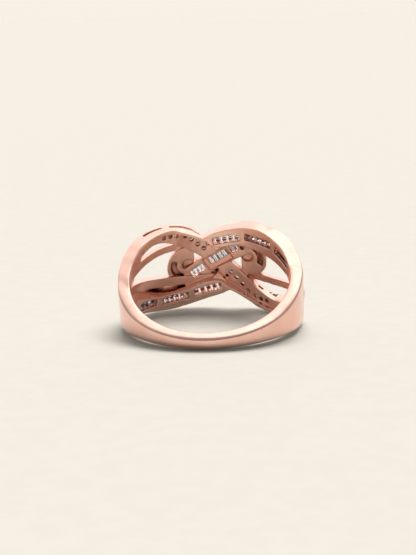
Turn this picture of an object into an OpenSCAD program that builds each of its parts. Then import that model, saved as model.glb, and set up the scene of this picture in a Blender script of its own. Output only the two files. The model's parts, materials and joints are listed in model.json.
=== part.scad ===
// Knot ring: an open, cast dress ring whose head is four ribbons tied round a middle bar.
// Each half of the head is the other half turned by 180 degrees about the head's middle.
// The ring is first drawn round its finger axis (Z) with the head towards +Y, and is then
// laid on its side the way it rests: on the back of the band and on the two lower lobes.

/* [Finger hole and band] */
// Inside diameter of the ring
finger_d = 17.3; // [16.9:0.1:17.6]
// Outside diameter of the plain band
band_d = 19.96; // [19.8:0.02:20.1]
// Half of the band's width at the back
band_half = 0.7; // [0.6:0.05:0.9]

/* [Head] */
// How far the head's own round centre stands forward of the finger's
head_shift = 0.78; // [0.7:0.02:0.86]
// Radius of the outer face of the diagonal and of the side ribbons
head_rho = 10.07; // [10.02:0.01:10.12]
// Inner and outer radius of the curls at the ends of the middle bar
curl_rho = [9.37, 10.5];
// Outer radius of the middle bar
bar_rho = 10.9; // [10.85:0.01:10.95]
// Width of the middle bar
bar_w = 2.1; // [2:0.05:2.2]
// Slope of the middle bar
bar_slope = 30; // [29:0.5:31]
// Outer radius of a curl, seen from the front
curl_r = 2.3; // [2.2:0.05:2.35]

/* [Thin arms] */
// Inner and outer radius of the high arms
high_rho = [9.55, 10.25];
// Inner and outer radius of the low arms
low_rho = [9.1, 10.12];
// Width of the high arms
high_w = 0.82; // [0.8:0.02:0.9]
// Width of the low arms
low_w = 1.1; // [1:0.05:1.2]

/* [Stones] */
// Width of the windows under the side ribbons' baguettes
side_window = 0.84; // [0.8:0.02:0.9]
// Length of the side ribbons' baguettes, across the ribbon
side_stone = 1.04; // [1:0.02:1.06]
// Length of the middle bar's baguettes, across the bar
bar_stone = 1.2; // [1.1:0.05:1.3]
// Diameter of the largest round stones on the diagonal
round_d = 0.86; // [0.8:0.02:0.88]
// Diameter of the tiny round stones on the arms
tiny_d = 0.52; // [0.48:0.02:0.54]
// Diameter of the round stone at the right end of the middle bar
end_d = 0.62; // [0.56:0.02:0.64]
// Half of the clear space between two stones, and the space between a stone and its metal
gap = 0.06; // [0.06:0.01:0.08]

/* [Hidden] */
$fn = 96;
finger_r = finger_d / 2;
band_r = band_d / 2;
reach = 13;          // longer than anything that stands forward of the finger axis
far = 10.2;          // past the outer face of the shoulders, sideways
steps = 3;           // straight stretches between two rows of a table of points
gold = "#d99a84";
clear = "#e8ebf0";

// Half of the ring's width, by the distance y forward of the finger axis: [y, half width]
side_rows = [[-12, band_half - 0.1], [-band_r, band_half], [-6.6, 1.25], [-3, 2.2], [0, 2.85],
             [2.2, 3.35], [4.3, 4.3], [5.8, 4.85], [7.5, 5.2], [reach, 5.6]];
// Upper edge of the head's left lobe, from the shoulder to the notch: [x, v]
lobe_rows = [[-8.65, 3.3], [-8.38, 3.85], [-8.1, 4.19], [-7.67, 4.53], [-7.13, 4.74], [-6.43, 4.88],
             [-5.6, 4.9], [-4.65, 4.73], [-3.79, 4.46], [-2.38, 3.76], [-1.75, 3.46], [-1.25, 3.22]];
// Upper and lower edge of the left shoulder, seen square to a direction turned to the left:
// [sideways, v]
shoulder_turn = 55;
lobe_shoulder = [[-7, 2.2], [-6.2, 2.65], [-5.42, 3.03], [-4.58, 3.31], [-3.82, 3.57], [-3.07, 3.88],
                 [-2.17, 4.19], [-1.13, 4.55], [-0.08, 4.75], [0.87, 4.88], [1.68, 4.95],
                 [2.6, 4.98], [3.4, 4.9], [4, 4.6]];
rim_shoulder = [[-7, -2.2], [-5.5, -2.65], [-3.7, -3], [-2.6, -3.35], [-1.5, -3.75], [-0.65, -4.05],
                [0.9, -4.5], [2.6, -4.78], [4.1, -4.7]];
shoulder_w = 0.75;   // width of the rims along those edges
// Right-hand edge of the diagonal, from the notch across the middle to the right shoulder
diagonal_rows = [[-1.2, 2.5], [0, 1.15], [1.5, -0.17], [2.96, -1.45], [4.33, -2.6],
                 [5.56, -3.33], [6.63, -3.6], [7.49, -3.3], [8.3, -2.6]];
// Upper edge of the lower-left ribbon, from the shoulder to its tip
ribbon_rows = [[-8.5, -1.1], [-8.13, -1.6], [-7.49, -2.15], [-6.63, -2.6], [-5.56, -2.9],
               [-4.06, -2.95], [-2.96, -2.75], [-1.5, -2.35], [-0.45, -2.1], [0.35, -2.15]];
// Lower edge of the lower-left ribbon, from the notch to the shoulder
rim_rows = [[1.65, -3.2], [1.1, -3.46], [0.3, -3.87], [-1.2, -4.33], [-3.24, -4.82], [-5.08, -4.92],
            [-6.43, -4.58], [-7.49, -4.05], [-8.2, -3.55], [-8.5, -3.2]];
// Middle line of a low arm, from the left shoulder to under the middle bar: [angle, v]
low_rows = [[-84, -0.05], [-71, -0.35], [-64, -0.6], [-57, -0.95], [-50, -1.3], [-43, -1.65],
            [-37, -1.87], [-29, -2.15], [-20, -2.4], [-8, -2.4], [0, -2]];
// Middle line of a high arm, from the left shoulder to above the middle bar: [angle, v]
high_rows = [[-84, 0], [-71, 0.55], [-64, 0.9], [-58, 1.2], [-52, 1.48], [-46, 1.7], [-40, 1.87],
             [-34, 1.93], [-28, 1.92], [-13, 1.85], [0, 2]];
arm_turn = 45;       // the arms' outlines are seen square to a direction turned to the left
// Windows of the lower-left ribbon: [first angle, last angle, first v, last v, stones]
side_windows = [[-70.5, -51, -2.5, -3.33, 5], [-45.5, -23, -3.5, -3.7, 6], [-17.8, 2, -3.6, -2.76, 5]];
// Windows of the middle bar, measured along it: [first, last, stones]
bar_windows = [[-3.95, -1.98, 4], [-1.15, 1.38, 4], [2.05, 3.08, 2]];
// Round stones of the upper-left half of the diagonal: [x, v, diameter as a share of round_d]
round_rows = [[-1.65, 1.55, 1], [-2.38, 2.15, 0.98], [-3.14, 2.86, 0.98], [-3.95, 3.5, 0.98],
              [-5.05, 3.85, 0.88], [-5.85, 4, 0.79], [-6.6, 4, 0.79]];
// Groove for those stones, along their middles and a little past both ends
groove_rows = concat([[-7.2, 3.9]], backwards([for (p = round_rows) [p[0], p[1]]]), [[-1.1, 1.1]]);

bar_half_l = 4.25;             // half of the middle bar's length
end_stone = [3.6, -0.3];       // round stone at the bar's right end: along the bar, across it
hook = [3.45, 0.5];            // middle of the right curl
curl_flat = 2.75;              // each curl is cut off flat this far from the head's middle
pit_r = 0.66;                  // radius of the hollow in the back of a curl
pit_floor = 10.05;             // distance from the finger axis to the floor of that hollow
channel_r = [1.2, 1.87];       // inner and outer radius of the channel round that hollow
channel_depth = 0.55;
channel_turn = [-25, 84];      // that channel runs round the curl's outer side up to the bar
rim_w = 0.38;                  // width of the polished rim along the lobes
recess_r = [9.15, 6.2, 3.65];  // hollow behind the diagonal: wide round, tight round, its centre
web_r = 9.15;                  // inner radius of the web that joins a ribbon's tip to the diagonal
// The notch is lower at its outer side: [x, v] over the place of its upper edge at notch_y
notch_rows = [[-4.7, 5.3], [-4.2, 4.88], [-3.65, 4.59], [-3.12, 4.35], [-2.44, 3.83], [-1.88, 3.48],
              [-1.6, 3.36], [-1.32, 3.49], [-0.9, 3.8], [-0.28, 4.09], [0.43, 4.37], [1.18, 4.62],
              [2.62, 4.92], [4.2, 5.5]];
notch_y = 8.5;
notch_fall = 14;               // that face of the notch falls outwards by this angle
tip_hole = [1.16, -2.63, 0.17];   // small hole between tip and diagonal: x, v, radius
tip_hole_turn = [-63, 0, 6];
crossing = [1.6, 10.3, 0.86];  // open box behind the bar: half length, distance forward, half width
slot_angles = [[-52, -37], [-31.5, -11]];   // the two gallery slots in the side of a lobe
slot_r = [9.82, 10.18];
slot_floor = [3.75, 2.9];
window_end = [9.05, 9.15, 0.6];   // the open side ends this far out: two places sideways, and its v

groove_depth = 0.55;           // groove that the round stones sit in
arm_groove_depth = 0.34;
arm_groove_ends = [-72, -21];  // the groove runs between these rows of an arm's table
arm_stone_ends = [-68, -32];   // angles of the first and the last tiny stone of an arm
arm_stones_n = 10;
hole_d = 0.52;                 // small round window under a round stone
window_pad = 0.12;             // clear length at each end of a row of side baguettes
shelf_depth = 1.45;            // from the outer face down to the shelf under the side baguettes
bar_shelf_depth = 1;
bar_lip = [0.08, 0.05, 0.32];  // width of that shelf in the middle bar: ends, upper side, lower side
window_depth = 3;              // deeper than any ribbon is thick
round_h = 0.54;                // heights of the stones from table to point
tiny_h = 0.34;
side_h = 1.1;
bar_h = 0.8;
set_low = 0.05;                // how far a baguette's table lies under the metal's outer face
set_proud = 0.04;              // how far a round stone's table stands over it

function turned(rows) = [for (p = rows) [-p[0], -p[1]]];
function backwards(rows) = [for (i = [len(rows) - 1:-1:0]) rows[i]];
function curve_point(a, b, c, d, t) =
    0.5 * (2 * b + (c - a) * t + (2 * a - 5 * b + 4 * c - d) * t * t + (3 * b - a - 3 * c + d) * t * t * t);
// A smooth line through the rows of a table
function smooth(rows) = concat([for (i = [0:len(rows) - 2]) for (k = [0:steps - 1])
    curve_point(rows[max(i - 1, 0)], rows[i], rows[i + 1], rows[min(i + 2, len(rows) - 1)], k / steps)],
    [rows[len(rows) - 1]]);
function across(rows, i) =
    let (d = rows[min(i + 1, len(rows) - 1)] - rows[max(i - 1, 0)]) [-d[1], d[0]] / norm(d);
// Outline of a strip of one width along a middle line
function strip(rows, w) = let (line = smooth(rows)) concat(
    [for (i = [0:len(line) - 1]) line[i] + across(line, i) * w / 2],
    [for (i = [len(line) - 1:-1:0]) line[i] - across(line, i) * w / 2]);
// Outline of a band between an edge and the same edge moved up or down
function edge_strip(line, rise) = concat(line, backwards([for (p = line) p + [0, rise]]));
// Distance from the finger axis of a head surface of radius rho, at an angle
function head_r(rho, angle) =
    head_shift * cos(angle) + sqrt(pow(rho, 2) - pow(head_shift * sin(angle), 2));
function angle_at(x, rho) = atan2(x, head_shift + sqrt(rho * rho - x * x));
// Slope of a row of side baguettes
function side_slope(w) =
    atan2(w[3] - w[2], head_r(head_rho, (w[0] + w[1]) / 2) * (w[1] - w[0]) * PI / 180);

// The supporting plane touches the back of the band and the lower edge that reaches furthest down.
// Both lower edges are taken on the finger side: [y, v]
lobe_end = 7.6;      // further out the shoulders are the lower edge
lowest = concat(
    [for (p = concat(smooth(rim_rows), turned(smooth(lobe_rows)))) if (abs(p[0]) < lobe_end)
        [sqrt(pow(finger_r, 2) - pow(p[0], 2)), p[1]]],
    [for (p = concat(smooth(lobe_shoulder), smooth(rim_shoulder)))
        [finger_r * cos(asin(p[0] / finger_r) - shoulder_turn), -abs(p[1])]]);
rest_tilt = max([for (p = lowest) atan((-p[1] - band_half) / (p[0] + band_r))]);
rest_rise = band_half * cos(rest_tilt) + band_r * sin(rest_tilt);
// The lower edge of the middle bar's face stands furthest forward
front_y = head_shift * cos(rest_tilt) + bar_w / 2 / cos(bar_slope) * sin(rest_tilt)
          + bar_rho * sqrt(pow(cos(rest_tilt), 2) + pow(sin(rest_tilt) * tan(bar_slope), 2));
rest_back = (front_y - band_r * cos(rest_tilt) - band_half * sin(rest_tilt)) / 2;

// Everything between two radii round the head's own centre
module head_layer(rho) {
    translate([0, head_shift, -reach / 2]) difference() {
        cylinder(r = rho[1], h = reach);
        translate([0, 0, -1]) cylinder(r = rho[0], h = reach + 2);
    }
}

// An outline drawn from the front (x sideways, v up), carried through the head
module front(outline) {
    translate([0, reach, 0]) rotate([90, 0, 0]) linear_extrude(reach) polygon(outline);
}

// The two halves of the head
module both_halves() {
    for (turn = [0, 180]) rotate([0, turn, 0]) children();
}

// A place on the head: its Z points outwards, its X along the ribbon
module on_head(angle, v, radius, slope = 0) {
    rotate([0, 0, -angle]) translate([0, radius, v]) rotate([-90, 0, 0]) rotate([0, 0, -slope]) children();
}

// A place on the middle bar's outer face, so far along it, across it and over it
module on_bar(along, aside, over) {
    x = along * cos(bar_slope) - aside * sin(bar_slope);
    angle = angle_at(x, bar_rho);
    on_head(angle, along * sin(bar_slope) + aside * cos(bar_slope), head_r(bar_rho + over, angle), bar_slope)
        children();
}

// Upper-left lobe, diagonal ribbon and lower-right lobe in one outline
function diagonal_outline() =
    let (half = concat([[-far, 3.2]], smooth(lobe_rows), smooth(diagonal_rows),
                       [[window_end[0], -1], [window_end[1], window_end[2]], [far, window_end[2]]]))
    concat(half, turned(half));

// Lower-left ribbon with its rounded tip
function ribbon_outline() = concat([[-far, -0.4], [-window_end[0], -0.4]], smooth(ribbon_rows),
    [[0.75, -2.4], [0.98, -2.72], [1.5, -2.85]], smooth(rim_rows), [[-far, -3]]);

// Web between a ribbon's tip and the diagonal
web_outline = [[-0.9, -2.5], [-0.45, -1.8], [0.05, -1.35], [0.7, -1.6], [1.4, -2.5], [1.4, -3], [0, -3]];

// Hollow in the back of the diagonal, which leaves a polished rim along the lobe
function recess_outline() = concat([for (p = smooth(lobe_rows)) if (p[0] > -8) p - [0, rim_w]],
    [[-1.2, 2.75], [-0.6, 1.95], [0.4, 0.9], [0.5, -0.5], [-0.2, -1.15], [-3, 0.9], [-6, 1.2], [-7.9, 1]]);

// Band, shoulders and the ribbons that touch the finger
module shell() {
    intersection() {
        union() {
            translate([0, 0, -reach / 2]) cylinder(r = band_r, h = reach);
            translate([0, head_shift, -reach / 2]) cylinder(r = head_rho, h = reach);
        }
        union() {
            intersection() {
                rotate([90, 0, 90]) translate([0, 0, -reach]) linear_extrude(2 * reach)
                    polygon(concat(smooth(side_rows), backwards([for (p = smooth(side_rows)) [p[0], -p[1]]])));
                union() {
                    translate([-reach, -reach, -reach / 2]) cube([2 * reach, reach, reach]);
                    front(diagonal_outline());
                    both_halves() {
                        front(ribbon_outline());
                        web();
                    }
                }
            }
            both_halves() rotate([0, 0, shoulder_turn]) {
                front(edge_strip(smooth(lobe_shoulder), -shoulder_w));
                front(edge_strip(smooth(rim_shoulder), shoulder_w));
            }
        }
    }
}

module web() {
    difference() {
        front(web_outline);
        translate([0, 0, -reach / 2]) cylinder(r = web_r, h = reach);
    }
}

// What is taken off the outer side of the notch and of the lobes beside it
module notch_cut() {
    translate([0, notch_y, 0]) rotate([-notch_fall, 0, 0]) translate([0, -reach / 2, 0])
        front(concat(smooth(notch_rows), [[reach / 2, reach], [-reach / 2, reach]]));
}

module tip_gap() {
    translate([tip_hole[0], finger_r, tip_hole[1]]) rotate(tip_hole_turn) translate([0, 0, -1])
        cylinder(r = tip_hole[2], h = 3.2, $fn = 32);
}

// One thin arm, a strip of the head's outer layers between two radii. Its rows are angles on
// the radius face.
module arm(rows, w, rho, face) {
    intersection() {
        head_layer(rho);
        rotate([0, 0, arm_turn])
            front(strip([for (p = rows) [head_r(face, p[0]) * sin(p[0] + arm_turn), p[1]]], w));
    }
}

// A round bar through the head along Y, on the middle of the right curl
module hook_round(r, h = reach) {
    translate([hook[0], 0, hook[1]]) rotate([-90, 0, 0]) cylinder(r = r, h = h);
}

// Round end of the middle bar, with a hollow in its back and a channel that winds round it
module curl() {
    difference() {
        intersection() {
            head_layer(curl_rho);
            hook_round(curl_r);
            translate([curl_flat, 0, -reach / 2]) cube(reach);
        }
        hook_round(pit_r, pit_floor);
        curl_channel();
    }
}

module curl_channel() {
    intersection() {
        head_layer([curl_rho[0] - 1, curl_rho[0] + channel_depth]);
        translate([hook[0], 0, hook[1]]) rotate([-90, 0, 0]) rotate([0, 0, -channel_turn[1]])
            rotate_extrude(angle = channel_turn[1] - channel_turn[0])
                translate([channel_r[0], 0]) square([channel_r[1] - channel_r[0], reach]);
    }
}

module middle_bar() {
    intersection() {
        head_layer([curl_rho[0], bar_rho]);
        rotate([0, -bar_slope, 0]) translate([-bar_half_l, 0, -bar_w / 2])
            cube([2 * bar_half_l, reach, bar_w]);
    }
}

// Windows and channel of the lower-left ribbon, one set for each row of the table
module side_cuts() {
    for (w = side_windows) {
        angle = (w[0] + w[1]) / 2;
        half_l = finger_r * sin((w[1] - w[0]) / 2) + window_pad;
        on_head(angle, (w[2] + w[3]) / 2, head_r(head_rho, angle), side_slope(w)) {
            translate([-half_l, -side_window / 2, -window_depth])
                cube([2 * half_l, side_window, window_depth + 1]);
            translate([-half_l - 2 * window_pad, -side_stone / 2 - gap, -shelf_depth])
                cube([2 * half_l + 4 * window_pad, side_stone + 2 * gap, shelf_depth + 1]);
        }
    }
}

// Windows and channels of the middle bar
module bar_cuts() {
    for (w = bar_windows) {
        half_l = (w[1] - w[0]) / 2 + gap;
        on_bar((w[0] + w[1]) / 2, 0, 0) {
            translate([-half_l + bar_lip[0], -bar_stone / 2 + bar_lip[1], -window_depth])
                cube([2 * (half_l - bar_lip[0]), bar_stone - bar_lip[1] - bar_lip[2], window_depth + 1]);
            translate([-half_l, -bar_stone / 2 - gap, -bar_shelf_depth])
                cube([2 * half_l, bar_stone + 2 * gap, bar_shelf_depth + 1]);
        }
    }
}

// Seat of the round stone at the bar's right end, and the small window under it
module end_seat() {
    on_bar(end_stone[0], end_stone[1], 0) {
        translate([0, 0, -groove_depth]) cylinder(r = end_d / 2 + gap, h = 1);
        translate([0, 0, -window_depth]) cylinder(d = hole_d, h = window_depth, $fn = 32);
    }
}

// Open box where the bar crosses behind the diagonal
module crossing_box() {
    rotate([0, -bar_slope, 0]) translate([-crossing[0], 0, -crossing[2]])
        cube([2 * crossing[0], crossing[1], 2 * crossing[2]]);
}

// Groove for the round stones, and a small round window under each
module diagonal_cuts() {
    intersection() {
        head_layer([head_rho - groove_depth, head_rho + 1]);
        front(strip(groove_rows, round_d + 2 * gap));
    }
    for (p = round_rows)
        on_head(angle_at(p[0], head_rho), p[1], finger_r) cylinder(d = hole_d, h = window_depth, $fn = 32);
}

// Groove for the tiny stones on a thin arm with an outer radius rho
module arm_groove(rows, rho) {
    arm([for (p = rows) if (p[0] > arm_groove_ends[0] && p[0] < arm_groove_ends[1]) p], tiny_d + 2 * gap,
        [rho - arm_groove_depth, rho + 1], rho);
}

module recess() {
    intersection() {
        front(recess_outline());
        translate([0, 0, -reach / 2]) union() {
            cylinder(r = recess_r[0], h = reach);
            translate([0, recess_r[2], 0]) cylinder(r = recess_r[1], h = reach);
        }
    }
}

// Long gallery slots in the side face of the upper-left lobe
module gallery_slots() {
    for (i = [0, 1])
        translate([0, 0, slot_floor[i]]) rotate([0, 0, 90 - slot_angles[i][1]])
            rotate_extrude(angle = slot_angles[i][1] - slot_angles[i][0])
                translate([slot_r[0], 0]) square([slot_r[1] - slot_r[0], 3]);
}

// Round stone of eight crown facets and eight pavilion facets, table up, with its table at z = 0
module round_stone(d, h) {
    levels = [[0.3 * d, 0], [0.5 * d, -0.3 * h], [0.5 * d, -0.38 * h], [0.1 * d, -h]];
    sides = 8;
    points = [for (l = levels) for (k = [0:sides - 1])
        [l[0] * cos(k * 360 / sides), l[0] * sin(k * 360 / sides), l[1]]];
    rings = len(levels) - 1;
    polyhedron(points, concat([[for (k = [sides - 1:-1:0]) k]], [[for (k = [0:sides - 1]) rings * sides + k]],
        [for (l = [0:rings - 1]) for (k = [0:sides - 1]) let (n = (k + 1) % sides, upper = l * sides)
            [upper + k, upper + n, upper + sides + n, upper + sides + k]]));
}

// Step-cut baguette: table, four crown steps, girdle and four pavilion steps, with its table at z = 0
module baguette(w, l, h) {
    levels = [[0.3 * w, 0.5 * l - 0.2 * w, 0], [0.5 * w, 0.5 * l, -0.25 * h],
              [0.5 * w, 0.5 * l, -0.4 * h], [0.12 * w, 0.5 * l - 0.38 * w, -h]];
    corner = [[1, 1], [-1, 1], [-1, -1], [1, -1]];
    points = [for (s = levels) for (c = corner) [s[0] * c[0], s[1] * c[1], s[2]]];
    polyhedron(points, concat([[3, 2, 1, 0]], [[12, 13, 14, 15]],
        [for (l = [0:2]) for (k = [0:3]) let (n = (k + 1) % 4, upper = l * 4)
            [upper + k, upper + n, upper + 4 + n, upper + 4 + k]]));
}

// Baguettes of the lower-left ribbon
module side_baguettes() {
    for (w = side_windows) {
        pitch = (w[1] - w[0]) / w[4];
        width = head_rho * pitch * PI / 180 - 2 * gap;
        for (k = [0.5:w[4]]) {
            angle = w[0] + pitch * k;
            on_head(angle, w[2] + (w[3] - w[2]) * k / w[4], head_r(head_rho - set_low, angle), side_slope(w))
                baguette(width, side_stone, side_h);
        }
    }
}

module middle_baguettes() {
    for (w = bar_windows) {
        pitch = (w[1] - w[0]) / w[2];
        for (k = [0.5:w[2]])
            on_bar(w[0] + pitch * k, 0, -set_low) baguette(pitch - 2 * gap, bar_stone, bar_h);
    }
}

module end_round() {
    on_bar(end_stone[0], end_stone[1], set_proud) round_stone(end_d, round_h);
}

// Tiny stones along an arm, at even angles round the head's middle
module arm_stones(rows, rho) {
    line = smooth(rows);
    for (k = [0:arm_stones_n - 1]) {
        angle = arm_stone_ends[0] + (arm_stone_ends[1] - arm_stone_ends[0]) * k / (arm_stones_n - 1);
        on_head(angle, lookup(angle, line), head_r(rho + set_proud, angle)) round_stone(tiny_d, tiny_h);
    }
}

// Ring laid down the way it rests, with the middle of its base at the origin
module at_rest() {
    translate([0, -rest_back, rest_rise]) rotate([rest_tilt, 0, 0]) children();
}

module ring_metal() color(gold) at_rest() difference() {
    union() {
        shell();
        both_halves() {
            arm(high_rows, high_w, high_rho, high_rho[1]);
            arm(low_rows, low_w, low_rho, low_rho[1]);
            curl();
        }
        middle_bar();
    }
    translate([0, 0, -reach / 2]) cylinder(r = finger_r, h = reach);
    both_halves() {
        side_cuts();
        diagonal_cuts();
        recess();
        gallery_slots();
        notch_cut();
        tip_gap();
        arm_groove(high_rows, high_rho[1]);
        arm_groove(low_rows, low_rho[1]);
    }
    crossing_box();
    bar_cuts();
    end_seat();
}

module baguettes_lower() color(clear) at_rest() side_baguettes();

module baguettes_upper() color(clear) at_rest() rotate([0, 180, 0]) side_baguettes();

module stones_middle() color(clear) at_rest() {
    middle_baguettes();
    end_round();
}

module diagonal_rounds() {
    for (p = round_rows) {
        angle = angle_at(p[0], head_rho);
        on_head(angle, p[1], head_r(head_rho + set_proud, angle)) round_stone(round_d * p[2], round_h);
    }
}

module rounds_upper_left() color(clear) at_rest() diagonal_rounds();

module rounds_lower_right() color(clear) at_rest() rotate([0, 180, 0]) diagonal_rounds();

module half_arm_stones() {
    arm_stones(high_rows, high_rho[1]);
    arm_stones(low_rows, low_rho[1]);
}

module rounds_left_arms() color(clear) at_rest() half_arm_stones();

module rounds_right_arms() color(clear) at_rest() rotate([0, 180, 0]) half_arm_stones();

ring_metal();
baguettes_lower();
baguettes_upper();
stones_middle();
rounds_upper_left();
rounds_lower_right();
rounds_left_arms();
rounds_right_arms();
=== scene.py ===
# %% [markdown]
# # A knot ring, finished in Blender
#
# The ring's construction is already there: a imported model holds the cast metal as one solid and
# each field of stones as a node. This lesson gives it the looks of the real thing: soft cast
# edges, polished rose gold, stones with more facets, and the grains of metal that hold the small
# ones. Nothing is moved or resized, so every new piece is worked out in the ring's own frame.

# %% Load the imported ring
import json
import math
import bmesh
import bpy
from mathutils import Matrix, Vector

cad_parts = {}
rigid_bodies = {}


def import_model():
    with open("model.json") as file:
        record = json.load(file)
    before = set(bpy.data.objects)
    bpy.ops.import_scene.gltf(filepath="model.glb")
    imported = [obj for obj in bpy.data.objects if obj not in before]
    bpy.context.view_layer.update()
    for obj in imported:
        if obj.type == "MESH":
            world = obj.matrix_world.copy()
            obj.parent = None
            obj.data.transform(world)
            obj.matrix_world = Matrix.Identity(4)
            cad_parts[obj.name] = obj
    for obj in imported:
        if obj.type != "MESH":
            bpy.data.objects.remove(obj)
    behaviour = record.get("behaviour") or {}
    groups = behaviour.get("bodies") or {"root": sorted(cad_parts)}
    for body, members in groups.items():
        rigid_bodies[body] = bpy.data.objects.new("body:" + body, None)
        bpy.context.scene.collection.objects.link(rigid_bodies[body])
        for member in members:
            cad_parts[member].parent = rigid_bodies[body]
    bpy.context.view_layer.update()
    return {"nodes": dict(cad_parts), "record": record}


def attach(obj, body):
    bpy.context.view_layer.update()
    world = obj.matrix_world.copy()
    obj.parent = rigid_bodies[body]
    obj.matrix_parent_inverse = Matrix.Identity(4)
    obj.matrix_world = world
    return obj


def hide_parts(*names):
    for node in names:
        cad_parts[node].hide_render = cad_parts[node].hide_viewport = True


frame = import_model()
bpy.ops.object.select_all(action="DESELECT")
print("nodes:", ", ".join(frame["nodes"]))

# %% [markdown]
# ## Working in the ring's own frame
#
# The ring lies on its side, tilted a little, because it rests on the back of the band and on the
# two lower lobes. It is much easier to model a ring standing round a Z axis, with the head
# towards +Y. The record's mount gives the middle of the finger hole and its axis, and that is
# all that is needed for a matrix that carries a piece from millimetres round the finger axis to
# metres in the resting pose. Every piece below is made in the first frame and laid down last.

# %% The ring's frame
MM = 0.001
finger = frame["record"]["mounts"][0]
hole_middle = Vector(finger["pos_m"])
hole_axis = Vector(finger["axis"])
finger_r = finger["dims"]["r_mm"]
rest_tilt = math.atan2(-hole_axis.y, hole_axis.z)
turn_down = Matrix.Rotation(rest_tilt, 4, "X")
laid = Matrix.Translation(hole_middle) @ turn_down @ Matrix.Scale(MM, 4)
print("the ring leans", round(math.degrees(rest_tilt), 2), "degrees; finger radius", finger_r, "mm")


def lay_down(piece):
    """Carries a finished piece from the ring's own frame to where the ring rests."""
    piece.data.transform(laid)
    piece.data.update()
    return piece


# %% [markdown]
# ## Camera
#
# The photo looks at the open back of the ring from about 27 degrees over the plane of the band.
# A camera could be turned by eye until the picture fits, but a small error would show in every
# rim. This one was found by matching the inner and outer edge of the band, and is given in the
# ring's frame. Because the band itself leans, the camera ends up lower over the floor.

# %% Camera
camera_side = math.radians(6.06)
camera_height = math.radians(26.84)
camera_roll = math.radians(-3.01)
camera_away = 140.0
camera_aim = (-0.312, 2.398)
focal_pixels = 1284.9
photo_w, photo_h = 416, 555
sensor = 36.0

right = Vector((math.cos(camera_side), math.sin(camera_side), 0))
forward = Vector((-math.sin(camera_side) * math.cos(camera_height),
                  math.cos(camera_side) * math.cos(camera_height),
                  -math.sin(camera_height)))
up = right.cross(forward)
rolled_right = math.cos(camera_roll) * right + math.sin(camera_roll) * up
rolled_up = -math.sin(camera_roll) * right + math.cos(camera_roll) * up
eye = camera_aim[0] * rolled_right + camera_aim[1] * rolled_up - camera_away * forward

bpy.ops.object.camera_add()
camera = bpy.context.object
camera.name = "photo_camera"
axes = Matrix((rolled_right, rolled_up, -forward)).transposed()
camera.matrix_world = Matrix.Translation(laid @ eye) @ turn_down @ axes.to_4x4()
camera.data.sensor_width = sensor
camera.data.lens = focal_pixels * sensor / max(photo_w, photo_h)
camera.data.clip_start = 0.01
camera.data.clip_end = 100
bpy.context.scene.camera = camera
looking_down = math.degrees(math.asin((turn_down @ forward).normalized().z * -1))
print("camera", round(camera_away), "mm away, looking down", round(looking_down, 1), "degrees")

# %% [markdown]
# ## Floor
#
# The ring lies on pale paper. Polished metal shows what is around it, so the set is part of the
# finish. A curved backdrop would do, but a plane this wide fills nearly the whole picture, and
# over its far edge the sky is given the paper's colour.

# %% Floor
floor_half = 20.0
bpy.ops.mesh.primitive_plane_add(size=2 * floor_half)
floor = bpy.context.object
floor.name = "studio_floor"
print("floor across, m:", 2 * floor_half)

# %% [markdown]
# ## Key light
#
# The photo's shadow is soft and grey and lies close round the ring, so its main light is broad
# and stands high, a little behind. A lamp near the ring would do too, but a sun with a wide
# angle is just as soft and easier to turn. It is hidden from mirrored rays, because the metal
# is to show the soft boxes of the sky instead.

# %% Key light
key_from = Vector((0.15, 0.36, 0.92)).normalized()
bpy.ops.object.light_add(type="SUN", location=key_from)
key = bpy.context.object
key.name = "key_light"
key.rotation_euler = key_from.to_track_quat("Z", "Y").to_euler()
key.data.angle = math.radians(40)
key.data.energy = 2.05
key.data.color = (1.0, 0.985, 0.955)
key.visible_glossy = False
print("key light", round(math.degrees(math.asin(key_from.z))), "degrees up")

# %% [markdown]
# ## The studio as a sky
#
# The rims of the band mirror a broad soft box behind the ring and a smaller one overhead, and a
# darker side behind the camera gives the metal its depth. The boxes could be lit panels, but
# then the camera might meet them. Here each one is a swell of brightness round a direction of
# the sky. Matt surfaces get the same sky dimmer and cooler, so the shadow on the floor keeps its
# tone while the metal stays bright.

# %% Sky: the soft boxes
box_from = Vector((-0.1, 0.75, 0.66)).normalized()
top_box_from = Vector((0.3, 0.42, 0.86)).normalized()
camera_is = Vector((0.1, -1.0, 0.12)).normalized()
box_swell = (0.5, 0.95, 0.45, 1.28)
top_box_swell = (0.82, 1.0, 0.0, 0.75)
camera_swell = (0.1, 0.9, 1.0, 0.72)

world = bpy.data.worlds.new("studio_sky")
bpy.context.scene.world = world
world.use_nodes = True
sky_nodes, sky_links = world.node_tree.nodes, world.node_tree.links
sky_nodes.clear()
direction = sky_nodes.new("ShaderNodeTexCoord")


def sky_swell(towards, start, end, low, high):
    """A brightness that rises from low to high as the sky nears one direction."""
    facing = sky_nodes.new("ShaderNodeVectorMath")
    facing.operation = "DOT_PRODUCT"
    facing.inputs[1].default_value = towards
    sky_links.new(direction.outputs["Generated"], facing.inputs[0])
    rise = sky_nodes.new("ShaderNodeMapRange")
    rise.interpolation_type = "SMOOTHSTEP"
    for socket, value in (("From Min", start), ("From Max", end), ("To Min", low), ("To Max", high)):
        rise.inputs[socket].default_value = value
    sky_links.new(facing.outputs["Value"], rise.inputs["Value"])
    return rise.outputs["Result"]


boxes = sky_nodes.new("ShaderNodeMath")
boxes.operation = "ADD"
sky_links.new(sky_swell(box_from, *box_swell), boxes.inputs[0])
sky_links.new(sky_swell(top_box_from, *top_box_swell), boxes.inputs[1])
strength = sky_nodes.new("ShaderNodeMath")
strength.operation = "MULTIPLY"
sky_links.new(boxes.outputs["Value"], strength.inputs[0])
sky_links.new(sky_swell(camera_is, *camera_swell), strength.inputs[1])
for name, towards in (("behind", box_from), ("overhead", top_box_from)):
    print("soft box", name, "stands", round(math.degrees(math.asin(towards.z))), "degrees up")

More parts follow.
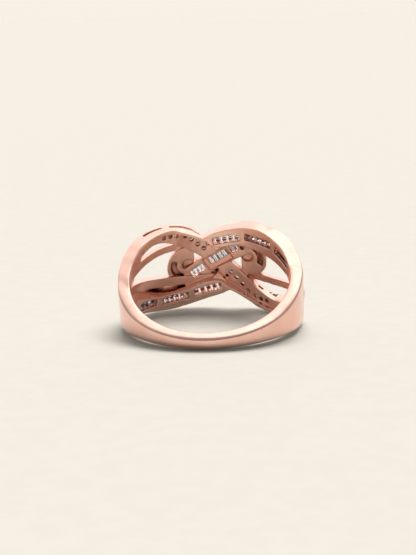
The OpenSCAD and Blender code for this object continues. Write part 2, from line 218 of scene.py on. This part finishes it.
# %% Sky: what each kind of ray meets
mirrored_sky = (1.0, 0.985, 0.965, 1)
matt_sky = (0.52, 0.545, 0.57, 1)
paper_backdrop = (0.93, 0.875, 0.79, 1)

rays = sky_nodes.new("ShaderNodeLightPath")
seen_by = sky_nodes.new("ShaderNodeMix")
seen_by.data_type = "RGBA"
sky_links.new(rays.outputs["Is Diffuse Ray"], seen_by.inputs["Factor"])
seen_by.inputs[6].default_value = mirrored_sky
seen_by.inputs[7].default_value = matt_sky
lit = sky_nodes.new("ShaderNodeBackground")
sky_links.new(seen_by.outputs[2], lit.inputs["Color"])
sky_links.new(strength.outputs["Value"], lit.inputs["Strength"])
backdrop = sky_nodes.new("ShaderNodeBackground")
backdrop.inputs["Color"].default_value = paper_backdrop
either = sky_nodes.new("ShaderNodeMixShader")
sky_out = sky_nodes.new("ShaderNodeOutputWorld")
sky_links.new(rays.outputs["Is Camera Ray"], either.inputs["Fac"])
sky_links.new(lit.outputs["Background"], either.inputs[1])
sky_links.new(backdrop.outputs["Background"], either.inputs[2])
sky_links.new(either.outputs["Shader"], sky_out.inputs["Surface"])
bpy.context.scene.view_settings.view_transform = "Standard"

# %% [markdown]
# ## Which way the surface faces
#
# The inside of a cast ring is only tumbled, never buffed, so it is rougher than the polished
# outside. Its colour there is painted light and shade: the faces towards the finger get a tone of
# their own, and places deeper in get a darker, redder one as painted shade. That could be painted
# on the mesh by hand, but worked out from the place and the normal it follows every edge by
# itself. Metal and stones both need it, so it is a node group that is built once: it says how far
# a place faces the finger, and how far out it is.


# %% Tools for node groups
def new_group(name, inputs, outputs):
    """An empty shader node group with named sockets, and its two ends."""
    group = bpy.data.node_groups.new(name, "ShaderNodeTree")
    for socket, kind, value in inputs:
        made = group.interface.new_socket(name=socket, in_out="INPUT", socket_type=kind)
        if value is not None:
            made.default_value = value
    for socket, kind in outputs:
        group.interface.new_socket(name=socket, in_out="OUTPUT", socket_type=kind)
    return group, group.nodes.new("NodeGroupInput"), group.nodes.new("NodeGroupOutput")


def ring_mapping(tree, source):
    """Object coordinates turned into millimetres round the finger axis."""
    mapping = tree.nodes.new("ShaderNodeMapping")
    mapping.vector_type = "TEXTURE"
    mapping.inputs["Location"].default_value = hole_middle
    mapping.inputs["Rotation"].default_value = (rest_tilt, 0, 0)
    mapping.inputs["Scale"].default_value = (MM, MM, MM)
    tree.links.new(source, mapping.inputs["Vector"])
    return mapping.outputs["Vector"]


def maths(tree, operation, *sources):
    """One vector maths node, its inputs linked or set."""
    node = tree.nodes.new("ShaderNodeVectorMath")
    node.operation = operation
    for place, source in enumerate(sources):
        if isinstance(source, bpy.types.NodeSocket):
            tree.links.new(source, node.inputs[place])
        else:
            node.inputs[place].default_value = source
    return node.outputs["Value" if operation in ("DOT_PRODUCT", "LENGTH") else "Vector"]


def spread(tree, source, low, high, to_low=0.0, to_high=1.0):
    """A value mapped smoothly from one span to another."""
    node = tree.nodes.new("ShaderNodeMapRange")
    node.interpolation_type = "SMOOTHSTEP"
    spans = (("From Min", low), ("From Max", high), ("To Min", to_low), ("To Max", to_high))
    for socket, value in spans:
        node.inputs[socket].default_value = value
    tree.links.new(source, node.inputs["Value"])
    return node.outputs["Result"]


# %% Node group: the side towards the finger
inner_skin_r, deep_skin_r = 8.9, 10.6
starts_facing_in, faces_in = -0.25, -0.75

finger_side, group_in, group_out = new_group(
    "finger_side",
    [("Vector", "NodeSocketVector", None), ("Normal", "NodeSocketVector", None)],
    [("Mask", "NodeSocketFloat"), ("Depth", "NodeSocketFloat")])
place_mm = ring_mapping(finger_side, group_in.outputs["Vector"])
from_axis = maths(finger_side, "MULTIPLY", place_mm, (1, 1, 0))
outward = maths(finger_side, "NORMALIZE", from_axis)
hollow = spread(finger_side, maths(finger_side, "LENGTH", from_axis), inner_skin_r, deep_skin_r)
finger_side.links.new(hollow, group_out.inputs["Depth"])
untilt = finger_side.nodes.new("ShaderNodeMapping")
untilt.vector_type = "VECTOR"
untilt.inputs["Rotation"].default_value = (-rest_tilt, 0, 0)
finger_side.links.new(group_in.outputs["Normal"], untilt.inputs["Vector"])
inward = maths(finger_side, "DOT_PRODUCT", outward, untilt.outputs["Vector"])
finger_side.links.new(spread(finger_side, inward, starts_facing_in, faces_in), group_out.inputs["Mask"])
print("group:", finger_side.name, "with", len(finger_side.nodes), "nodes")

# %% [markdown]
# ## Marks and grain
#
# A polish that has been handled has fine marks running round the ring, a soft grain left by
# casting, and faint clouds of redder and paler metal. The marks could come from a picture, but a
# noise that changes slowly round the ring and quickly along the finger needs no picture and has
# no seam. Metal, stones and paper all take something from this group, each with its own grain.

# %% Node group: marks and grain
mark_stretch = (0.35, 0.35, 6.0)
mark_scale, cloud_scale = 3.0, 0.55

handling, group_in, group_out = new_group(
    "handling_marks",
    [("Vector", "NodeSocketVector", None), ("Grain", "NodeSocketFloat", 6.0)],
    [("Marks", "NodeSocketFloat"), ("Height", "NodeSocketFloat"), ("Clouds", "NodeSocketFloat")])
place_mm = ring_mapping(handling, group_in.outputs["Vector"])


def noise(tree, source, scale, detail, stretch=(1, 1, 1)):
    """A noise texture on a stretched place."""
    node = tree.nodes.new("ShaderNodeTexNoise")
    node.inputs["Detail"].default_value = detail
    if isinstance(scale, bpy.types.NodeSocket):
        tree.links.new(scale, node.inputs["Scale"])
    else:
        node.inputs["Scale"].default_value = scale
    tree.links.new(maths(tree, "MULTIPLY", source, stretch), node.inputs["Vector"])
    return node.outputs["Fac"]


scratches = spread(handling, noise(handling, place_mm, mark_scale, 4.0, mark_stretch), 0.52, 0.72)
grain = noise(handling, place_mm, group_in.outputs["Grain"], 3.0)
clouds = spread(handling, noise(handling, place_mm, cloud_scale, 2.0), 0.35, 0.65)
handling.links.new(scratches, group_out.inputs["Marks"])
handling.links.new(grain, group_out.inputs["Height"])
handling.links.new(clouds, group_out.inputs["Clouds"])
print("group:", handling.name, "with", len(handling.nodes), "nodes")

# %% [markdown]
# ## Rose gold
#
# Rose gold is a metal whose colour lives in its reflections. Buffing reaches the outside and
# leaves the inside duller. The faces towards the finger get tones of their own as painted light
# and shade, and the nooks are darkened with painted shade. That shade could be painted on, but an
# Ambient Occlusion node finds the nooks, because it tells how closed in a place is. So red a metal
# would also tint the grey shadow on the floor round it, so matt surfaces are given a pale, neutral
# metal to look at.


# %% Tools for materials
def new_material(name):
    """A material with its nodes and links."""
    material = bpy.data.materials.new(name)
    material.use_nodes = True
    return material, material.node_tree.nodes, material.node_tree.links


def place_group(material, group, **sources):
    """A node group placed in a material, fed with object coordinates."""
    nodes, links = material.node_tree.nodes, material.node_tree.links
    coordinates = nodes.new("ShaderNodeTexCoord")
    node = nodes.new("ShaderNodeGroup")
    node.node_tree = group
    links.new(coordinates.outputs["Object"], node.inputs["Vector"])
    if "Normal" in node.inputs:
        links.new(coordinates.outputs["Normal"], node.inputs["Normal"])
    for socket, value in sources.items():
        node.inputs[socket].default_value = value
    return node


def mixed(material, share, first, second):
    """A colour between two, by a mask."""
    node = material.node_tree.nodes.new("ShaderNodeMix")
    node.data_type = "RGBA"
    material.node_tree.links.new(share, node.inputs["Factor"])
    for socket, colour in ((node.inputs[6], first), (node.inputs[7], second)):
        if isinstance(colour, bpy.types.NodeSocket):
            material.node_tree.links.new(colour, socket)
        else:
            socket.default_value = (*colour, 1)
    return node.outputs[2]


# %% Rose gold
nook_reach = 1.0
nook_closed, nook_open = 0.12, 0.62
nook_shade_colour = (0.22, 0.07, 0.04)
pale_glow = (0.62, 0.61, 0.60)
buffed, tumbled, marked = 0.17, 0.36, 0.10
grain_strength, grain_depth = 0.25, 0.01


def rose_gold(name, polished, redder, inside, deep_shade, grain):
    """Polished rose gold outside, less polished towards the finger, with painted light and shade on the
    side towards the finger and painted shade in the nooks.
    """
    material, nodes, links = new_material(name)
    tree = material.node_tree
    shader = nodes["Principled BSDF"]
    shader.inputs["Metallic"].default_value = 1
    side = place_group(material, finger_side)
    marks = place_group(material, handling, Grain=grain)
    outer = mixed(material, marks.outputs["Clouds"], polished, redder)
    # painted light and shade: a tone of its own towards the finger, and a darker, redder painted shade
    # deeper in
    painted_inner_tone = mixed(material, side.outputs["Depth"], inside, deep_shade)
    colour = mixed(material, side.outputs["Mask"], outer, painted_inner_tone)
    # painted shade: Ambient Occlusion darkens the closed-in nooks towards the nook colour
    nook = nodes.new("ShaderNodeAmbientOcclusion")
    nook.inputs["Distance"].default_value = nook_reach * MM
    nook.only_local = True
    openness = spread(tree, nook.outputs["AO"], nook_closed, nook_open)
    shaded = mixed(material, openness, nook_shade_colour, colour)
    rays = nodes.new("ShaderNodeLightPath")
    seen = mixed(material, rays.outputs["Is Diffuse Ray"], shaded, pale_glow)
    links.new(seen, shader.inputs["Base Color"])
    rough = nodes.new("ShaderNodeMath")
    rough.operation = "MULTIPLY_ADD"
    links.new(marks.outputs["Marks"], rough.inputs[0])
    rough.inputs[1].default_value = marked
    links.new(spread(tree, side.outputs["Mask"], 0, 1, buffed, tumbled), rough.inputs[2])
    links.new(rough.outputs["Value"], shader.inputs["Roughness"])
    bump = nodes.new("ShaderNodeBump")
    bump.inputs["Strength"].default_value = grain_strength
    bump.inputs["Distance"].default_value = grain_depth * MM
    links.new(marks.outputs["Height"], bump.inputs["Height"])
    links.new(bump.outputs["Normal"], shader.inputs["Normal"])
    return material


# painted light and shade: the polished metal is painted lighter towards the finger and the grains
# darker, both darker still deeper in
gold = rose_gold("rose_gold_polished", (0.89, 0.57, 0.48), (0.87, 0.53, 0.44),
                 (1.0, 0.64, 0.51), (0.98, 0.57, 0.44), 7.0)
gold_grains = rose_gold("rose_gold_grains", (0.90, 0.58, 0.49), (0.86, 0.53, 0.44),
                        (0.8, 0.48, 0.39), (0.62, 0.32, 0.24), 12.0)
print("metals:", gold.name, "and", gold_grains.name)

# %% [markdown]
# ## Cut stone
#
# A clear stone is bright or dark by what its facets throw back. Plain glass would do for its
# front, but from behind, through the windows in the metal, light and dark show side by side. So
# the side towards the finger is clouded in patches and painted dark in others, as painted
# reflection and shade. The small round stones sit in deep holes, and their backs are painted
# nearly black, as painted shade.

# %% Cut stone
patch_low, patch_high = 0.46, 0.56
stone_grain = 1.6
stone_bend = 2.2
stone_front = (0.96, 0.97, 1.0)


def clear_stone(name, cloud_and_shade, shaded):
    """Cut stone without any roughness, clouded and partly painted dark on the side towards the finger,
    as painted reflection and shade.
    """
    material, nodes, links = new_material(name)
    shader = nodes["Principled BSDF"]
    side = place_group(material, finger_side)
    marks = place_group(material, handling, Grain=stone_grain)
    patches = spread(material.node_tree, marks.outputs["Height"], patch_low, patch_high)
    # painted reflection and shade: dark patches on the side towards the finger
    back = mixed(material, patches, cloud_and_shade, shaded)
    links.new(mixed(material, side.outputs["Mask"], stone_front, back), shader.inputs["Base Color"])
    shader.inputs["Roughness"].default_value = 0.0
    shader.inputs["IOR"].default_value = stone_bend
    shader.inputs["Transmission Weight"].default_value = 1
    return material


# painted shade: the small round stones' backs are nearly black
clear = clear_stone("cut_stone", (0.92, 0.91, 0.96), (0.10, 0.08, 0.13))
clear_small = clear_stone("cut_stone_small", (0.06, 0.04, 0.03), (0.02, 0.01, 0.01))
print("stones:", clear.name, "and", clear_small.name)

# %% [markdown]
# ## Pale paper
#
# The floor is matt cream paper. One flat colour would look drawn, so two creams that hardly
# differ are mixed by the same clouds as the metal's, and the sheet shines no more than paper.

# %% Pale paper
cream, deeper_cream = (0.90, 0.837, 0.748), (0.885, 0.822, 0.734)


def pale_sheet():
    """Matt cream paper with a faint cloudiness."""
    material, nodes, links = new_material("pale_floor")
    shader = nodes["Principled BSDF"]
    marks = place_group(material, handling, Grain=2.0)
    paper = mixed(material, marks.outputs["Clouds"], cream, deeper_cream)
    links.new(paper, shader.inputs["Base Color"])
    shader.inputs["Roughness"].default_value = 0.9
    return material


floor.data.materials.append(pale_sheet())
print("floor material:", floor.data.materials[0].name)

# %% [markdown]
# ## The cast metal
#
# A real ring is cast from wax and then polished, so it has no sharp edge anywhere. A bevel wants
# clean edges to work on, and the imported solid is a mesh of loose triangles. So a copy of it is
# merged and remeshed in small cubes, which makes one even skin, and the skin is then relaxed.
# An operator works on whatever is selected, so each step first picks one object and nothing else.


# %% Copy of the cast metal
def pick(piece):
    """Leaves one object selected and active."""
    bpy.ops.object.select_all(action="DESELECT")
    piece.select_set(True)
    bpy.context.view_layer.objects.active = piece
    return piece


merge_within = 0.0005


def copy_of_node(name):
    """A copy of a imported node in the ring's own frame, its loose triangles merged."""
    pick(frame["nodes"][name])
    bpy.ops.object.duplicate()
    twin = bpy.context.object
    bpy.ops.object.parent_clear(type="CLEAR_KEEP_TRANSFORM")
    twin.data.transform(laid.inverted())
    bpy.ops.object.mode_set(mode="EDIT")
    bpy.ops.mesh.select_all(action="SELECT")
    bpy.ops.mesh.remove_doubles(threshold=merge_within)
    bpy.ops.object.mode_set(mode="OBJECT")
    return twin


metal = copy_of_node("ring_metal")
metal.name = "cast_ring"
print("metal:", len(metal.data.vertices), "points")


# %% An even skin
def finish_modifier(piece, kind, **settings):
    """Adds a modifier, sets it and applies it."""
    pick(piece)
    modifier = piece.modifiers.new(kind.title(), kind)
    for name, value in settings.items():
        setattr(modifier, name, value)
    bpy.ops.object.modifier_apply(modifier=modifier.name)
    return piece


voxel = 0.06
finish_modifier(metal, "REMESH", mode="VOXEL", voxel_size=voxel, use_smooth_shade=True)
print("metal in small cubes:", len(metal.data.polygons), "faces")

# %% [markdown]
# ## Where to polish
#
# A polisher's wheel rounds the plain band most, rolls the outer rims and the tops of the
# shoulders, and only brushes the curls, while the windows round the stones stay crisp. Relaxing
# the whole skin alike would blur the windows. So each of these places gets a vertex group,
# which is a weight from 0 to 1 at every point, worked out here from where the point is.


# %% A brush and the plain band
def paint(piece, name, weigh):
    """A vertex group whose weights come from each point's place; returns how many points it has."""
    group = piece.vertex_groups.new(name=name)
    levels = 12
    members = {}
    for point in piece.data.vertices:
        members.setdefault(round(weigh(point.co) * levels), []).append(point.index)
    for level, indices in members.items():
        if level:
            group.add(indices, level / levels, "REPLACE")
    return sum(len(indices) for level, indices in members.items() if level)


def blend_in(low, high, value):
    """Rises smoothly from 0 at low to 1 at high."""
    share = min(max((value - low) / (high - low), 0), 1)
    return share * share * (3 - 2 * share)


def on_band(place):
    """Full on the back of the band, fading towards the head."""
    return 1 - blend_in(-1.0, 4.0, place.y)


def on_back(place):
    """The outside of the plain band."""
    return blend_in(9.1, 9.6, math.hypot(place.x, place.y)) * (1 - blend_in(0.0, 4.0, place.y))


def on_underside(place):
    """The lower half of the band's outside, with the edge it rests on."""
    return on_back(place) * (1 - blend_in(-0.3, 0.2, place.z))


print("points on the band:", paint(metal, "band", on_band))
print("points on the outside of the band:", paint(metal, "back", on_back))
print("points on its lower half:", paint(metal, "under", on_underside))

# %% The curls
curl_middle = (3.45, 0.5)
curl_reach = 2.0
head_inside, head_outside = 8, 8.5


def on_curls(place):
    """The two discs of the curls, the second being the half-turn twin of the first."""
    away = min(math.hypot(place.x - side * curl_middle[0], place.z - side * curl_middle[1])
               for side in (1, -1))
    near = 1 - blend_in(curl_reach, curl_reach + 0.5, away)
    return near * blend_in(head_inside, head_outside, place.y)


print("points on the curls:", paint(metal, "curls", on_curls))

# %% The rims and the shoulders
# Height of the head's upper edge by the angle round the finger; the lower edge is its half-turn twin
top_edge = ((-180, 0.7), (-120, 1.7), (-100, 2.7), (-90, 3.15), (-80, 3.6), (-70, 4.15), (-60, 4.6),
            (-50, 4.88), (-38, 4.97), (-28, 4.6), (-18, 3.95), (-9, 2.85), (-1, 3.5), (6, 4.05),
            (14, 4.4), (22, 4.75), (30, 4.85), (40, 4.7), (50, 4.4), (60, 3.95), (70, 3.5), (80, 3.1),
            (90, 2.85), (120, 1.7), (180, 0.7))
head_shift = 0.78


def edge_height(place):
    """How high the metal's edge is at this side of the ring, above or below the middle."""
    half = 1 if place.z > 0 else -1
    angle = math.degrees(math.atan2(half * place.x, place.y))
    (a, low), (b, high) = next(pair for pair in zip(top_edge, top_edge[1:]) if angle <= pair[1][0])
    return low + (high - low) * (angle - a) / (b - a)


def on_rims(place):
    """The outer corner between the head's edge and its outside."""
    height = edge_height(place)
    outside = math.hypot(place.x, place.y - head_shift)
    return blend_in(height - 0.6, height - 0.25, abs(place.z)) * blend_in(9.2, 9.7, outside)


def on_shoulders(place):
    """The flat of the edge, from the band up to where the head opens."""
    height = edge_height(place)
    return blend_in(height - 0.3, height - 0.1, abs(place.z)) * (1 - blend_in(3.5, 5.5, place.y))


print("points on the outer rims:", paint(metal, "rims", on_rims))
print("points on the shoulders:", paint(metal, "shoulders", on_shoulders))

# %% [markdown]
# ## Polishing
#
# Each pass of Smooth moves a point towards the middle of its neighbours, as a wheel wears down
# what stands out. Few passes soften an edge, and hundreds roll it away. A Subdivision Surface
# would soften too, but everywhere alike. Last, the skin is thinned to a sensible weight.

# %% Polish it
relax = 0.5
soften_all = 3
passes = (("band", 30), ("back", 60), ("under", 300), ("shoulders", 80), ("curls", 8), ("rims", 40))
most_triangles = 190000

finish_modifier(metal, "SMOOTH", factor=relax, iterations=soften_all)
for name, times in passes:
    finish_modifier(metal, "SMOOTH", factor=relax, iterations=times, vertex_group=name)
finish_modifier(metal, "DECIMATE", ratio=most_triangles / (2 * len(metal.data.polygons)))
metal.vertex_groups.clear()
pick(metal)
bpy.ops.object.shade_smooth()
metal.data.materials.clear()
metal.data.materials.append(gold)
lay_down(metal)
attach(metal, "root")
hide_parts("ring_metal")
print("metal after polishing:", len(metal.data.polygons), "faces")

# %% [markdown]
# ## Where the stones sit
#
# Each packed field of stones is a node of small loose solids. New stones could be placed by
# measure, but then both would have to be kept alike. Here every stone's place, turn and size is
# read from its solid, so the finer stone that takes its place sits exactly where it did.

# %% Where the stones sit
baguette_corners = 16


def discard(piece):
    bpy.data.objects.remove(piece)


def seat_of(stone):
    """Place, width, length and height of one loose stone."""
    corners = [point.co.copy() for point in stone.data.vertices]
    middle = sum(corners, Vector()) / len(corners)
    outward = Vector((middle.x, middle.y, 0)).normalized()
    level = [corner.dot(outward) for corner in corners]
    reaches = [corner - middle - outward * (corner - middle).dot(outward) for corner in corners]
    farthest = max(reaches, key=lambda reach: reach.length)
    if len(corners) == baguette_corners:
        far = [reach for reach in reaches if reach.length > 0.95 * farthest.length]
        sides = sorted(((reach - farthest).length, index) for index, reach in enumerate(far))
        across = next(far[index] - farthest for length, index in sides if length > 0.01).normalized()
    else:
        across = farthest.normalized()
    length_way = outward.cross(across)
    width = 2 * max(reach.dot(across) for reach in reaches)
    length = 2 * max(reach.dot(length_way) for reach in reaches)
    place = Matrix((across, length_way, outward)).transposed().to_4x4()
    place.translation = middle + outward * (max(level) - middle.dot(outward))
    return place, width, length, max(level) - min(level)


def seats_in(name):
    """The seats of every stone of a node, in the ring's frame."""
    pick(copy_of_node(name))
    bpy.ops.object.mode_set(mode="EDIT")
    bpy.ops.mesh.select_all(action="SELECT")
    bpy.ops.mesh.separate(type="LOOSE")
    bpy.ops.object.mode_set(mode="OBJECT")
    seats = []
    for stone in list(bpy.context.selected_objects):
        seats.append(seat_of(stone))
        discard(stone)
    return seats


seats = {name: seats_in(name) for name in frame["nodes"] if name != "ring_metal"}
for name, found in seats.items():
    print(name, "has", len(found), "stones; width of the first, mm:", round(found[0][1], 2))

# %% [markdown]
# ## The step cut
#
# A baguette's long narrow steps make its bright and dark bars. A bevel would round the girdle
# too, so each step is one flat end, extruded and then drawn in by the same amount on every side,
# much as the steps are ground. In edit mode the flat end is found by its normal.

# %% Step cut
crown_steps = ((0.08, 0.14), (0.10, 0.11))
pavilion_steps = ((0.10, -0.18), (0.14, -0.22), (0.17, -0.22))


def pick_end(piece, top):
    """In edit mode, selects the flat top of a piece or its flat bottom, and no other face."""
    way = 1 if top else -1
    mesh = bmesh.from_edit_mesh(piece.data)
    for face in mesh.faces:
        face.select_set(False)
    for face in mesh.faces:
        if face.normal.z * way > 0.9:
            face.select_set(True)
    mesh.select_flush_mode()
    bmesh.update_edit_mesh(piece.data)


def step(piece, top, inset, rise, half):
    """Extrudes the top or bottom face and draws it in by the same amount all round."""
    pick_end(piece, top)
    bpy.ops.mesh.extrude_region_move(TRANSFORM_OT_translate={"value": (0, 0, rise)})
    after = [side - inset for side in half]
    drawn_in = (after[0] / half[0], after[1] / half[1], 1)
    bpy.ops.transform.resize(value=drawn_in, center_override=(0, 0, 0))
    return after


def baguette(width, length, height):
    """A step-cut stone with its table at z = 0."""
    girdle_top, girdle_low = -0.25 * height, -0.32 * height
    bpy.ops.mesh.primitive_cube_add(size=1, location=(0, 0, (girdle_top + girdle_low) / 2),
                                    scale=(width, length, girdle_top - girdle_low))
    stone = bpy.context.object
    bpy.ops.object.transform_apply(location=True, rotation=False, scale=True)
    bpy.ops.object.mode_set(mode="EDIT")
    for top, steps in ((True, crown_steps), (False, pavilion_steps)):
        half = [width / 2, length / 2]
        for inset, rise in steps:
            half = step(stone, top, inset * width, rise * height, half)
    bpy.ops.object.mode_set(mode="OBJECT")
    return stone


print("a baguette has", len(crown_steps), "steps over its girdle and", len(pavilion_steps), "under it")

# %% [markdown]
# ## The round brilliant
#
# A round stone sparkles because its facets stand in rows, each turned against the last. Every
# facet could be cut with bisect, but at this size nobody would see it. A short cylinder is the
# girdle, and each row is one extrude of the flat end, drawn in and turned by half a facet.

# %% Round brilliant
facet_sides = 16
facet_rows = ((True, 0.80, 0.19), (True, 0.72, 0.11), (False, 0.56, -0.34), (False, 0.12, -0.30))


def brilliant(diameter, height):
    """A round stone with its table at z = 0, each row of facets turned against the last."""
    half_facet = math.radians(180 / facet_sides)
    girdle_top, girdle_low = -0.30 * height, -0.36 * height
    bpy.ops.mesh.primitive_cylinder_add(vertices=facet_sides, radius=diameter / 2,
                                        depth=girdle_top - girdle_low,
                                        location=(0, 0, (girdle_top + girdle_low) / 2))
    stone = bpy.context.object
    bpy.ops.object.transform_apply(location=True, rotation=False, scale=False)
    bpy.ops.object.mode_set(mode="EDIT")
    for top, share, rise in facet_rows:
        pick_end(stone, top)
        bpy.ops.mesh.extrude_region_move(TRANSFORM_OT_translate={"value": (0, 0, rise * height)})
        bpy.ops.transform.resize(value=(share, share, 1), center_override=(0, 0, 0))
        bpy.ops.transform.rotate(value=half_facet, orient_axis="Z", center_override=(0, 0, 0))
    bpy.ops.mesh.select_all(action="SELECT")
    bpy.ops.mesh.quads_convert_to_tris()
    bpy.ops.object.mode_set(mode="OBJECT")
    return stone


print("a round stone has", len(facet_rows), "rows of", facet_sides, "facets")

# %% [markdown]
# ## Setting the stones
#
# A setter sorts the stones by size and drops each into its seat. Cutting every stone anew would
# be slow, so one master of each size is cut, and a copy with its own mesh goes to each seat.
# Each field is joined into one piece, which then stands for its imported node.


# %% Copying and joining
def join(pieces, name):
    """Joins a list of pieces into one object with a name."""
    pick(pieces[0])
    for piece in pieces:
        piece.select_set(True)
    bpy.ops.object.join()
    whole = bpy.context.object
    whole.name = name
    whole.data.name = name
    return whole


def copy_at(piece, place):
    """A copy of a piece with a mesh of its own, carried to a place."""
    twin = piece.copy()
    twin.data = piece.data.copy()
    twin.data.transform(place)
    bpy.context.scene.collection.objects.link(twin)
    return twin


def set_field(name, seats, cut, size_of):
    """One joined field of stones, each cut to the size of its seat."""
    masters = {}
    stones = []
    for place, width, length, height in seats:
        size = size_of(width, length, height)
        if size not in masters:
            masters[size] = cut(*size)
        stones.append(copy_at(masters[size], place))
    for master in masters.values():
        discard(master)
    return join(stones, name)


def dress(field, node, material):
    """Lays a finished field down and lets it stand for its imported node."""
    field.data.materials.clear()
    field.data.materials.append(material)
    lay_down(field)
    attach(field, "root")
    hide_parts(node)
    print(field.name, "has", len(field.data.polygons), "faces")
    return field


# %% Set the stones
def is_round(seat):
    """A round stone's seat is as wide as it is long."""
    return abs(seat[1] - seat[2]) < 0.05


def long_size(width, length, height):
    return round(width, 3), round(length, 3), round(height, 3)


def round_size(width, length, height):
    return round(width, 3), round(height, 3)


for node, found in seats.items():
    long_ones = [seat for seat in found if not is_round(seat)]
    round_ones = [seat for seat in found if is_round(seat)]
    fields = []
    if long_ones:
        fields.append(set_field("cut_long", long_ones, baguette, long_size))
    if round_ones:
        fields.append(set_field("cut_round", round_ones, brilliant, round_size))
    field = join(fields, "cut_" + node) if len(fields) > 1 else fields[0]
    field.name = "cut_" + node
    dress(field, node, clear if long_ones else clear_small)

# %% [markdown]
# ## Grains that hold the small stones
#
# Each small round stone is held by grains: short posts of metal, raised from the groove beside
# it and rounded over its edge, two in every gap between neighbours. Little balls would float
# where the groove is deep, and a post reaches down into the metal. One grain is a thin cylinder
# whose top is drawn in to a dome, and the rest are copies of it.

# %% One grain
dome_rows = ((0.86, 0.32), (0.66, 0.26), (0.4, 0.14))


def one_grain(radius, depth):
    """A post with a round top; its top is just over z = 0."""
    bpy.ops.mesh.primitive_cylinder_add(vertices=12, radius=radius, depth=depth,
                                        location=(0, 0, -depth / 2))
    post = bpy.context.object
    bpy.ops.object.transform_apply(location=True, rotation=False, scale=False)
    bpy.ops.object.mode_set(mode="EDIT")
    for share, rise in dome_rows:
        pick_end(post, True)
        bpy.ops.mesh.extrude_region_move(TRANSFORM_OT_translate={"value": (0, 0, rise * radius)})
        bpy.ops.transform.resize(value=(share, share, 1), center_override=(0, 0, 0))
    bpy.ops.object.mode_set(mode="OBJECT")
    bpy.ops.object.shade_smooth()
    return post


print("the dome of a grain rises by", round(sum(rise for share, rise in dome_rows), 2), "of its radius")


# %% Where the grains stand
def grain_places(row, aside, sink):
    """Places beside a row of stones, two at every gap and two at both ends."""
    tops = [seat[0].translation for seat in row]
    gaps = [(first + second) / 2 for first, second in zip(tops, tops[1:])]
    ends = [tops[0] + (tops[0] - gaps[0]) * 0.95, tops[-1] + (tops[-1] - gaps[-1]) * 0.95]
    ways = [second - first for first, second in zip(tops, tops[1:])]
    places = []
    for middle, way in zip([ends[0]] + gaps + [ends[1]], [ways[0]] + ways + [ways[-1]]):
        outward = Vector((middle.x, middle.y, 0)).normalized()
        across = outward.cross(way.normalized()).normalized()
        along = across.cross(outward)
        for side in (1, -1):
            place = Matrix((across, along, outward)).transposed().to_4x4()
            place.translation = middle + across * side * aside - outward * sink
            places.append(place)
    return places


def round_the_ring(seat):
    return math.atan2(seat[0].translation.x, seat[0].translation.y)


def rows_of(node):
    """The round stones of a node as rows, each sorted round the ring; two arms make two rows."""
    round_ones = [seat for seat in seats[node] if is_round(seat)]
    if "arms" in node:
        high = [seat for seat in round_ones if seat[0].translation.z > 0]
        low = [seat for seat in round_ones if seat[0].translation.z <= 0]
        return [sorted(high, key=round_the_ring), sorted(low, key=round_the_ring)]
    return [sorted(round_ones, key=round_the_ring)]


# %% Rows of grains
grain_kinds = {
    "grains_diagonal": {"nodes": ("rounds_upper_left", "rounds_lower_right"),
                        "radius": 0.125, "depth": 0.5, "aside": 0.36, "sink": 0.07},
    "grains_arms": {"nodes": ("rounds_left_arms", "rounds_right_arms"),
                    "radius": 0.095, "depth": 0.3, "aside": 0.235, "sink": 0.05}}

for name, kind in grain_kinds.items():
    master = one_grain(kind["radius"], kind["depth"])
    rows = [row for node in kind["nodes"] for row in rows_of(node)]
    places = [place for row in rows for place in grain_places(row, kind["aside"], kind["sink"])]
    grains = join([copy_at(master, place) for place in places], name)
    discard(master)
    grains.data.materials.clear()
    grains.data.materials.append(gold_grains)
    lay_down(grains)
    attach(grains, "root")
    print(name, "has", len(places), "grains")
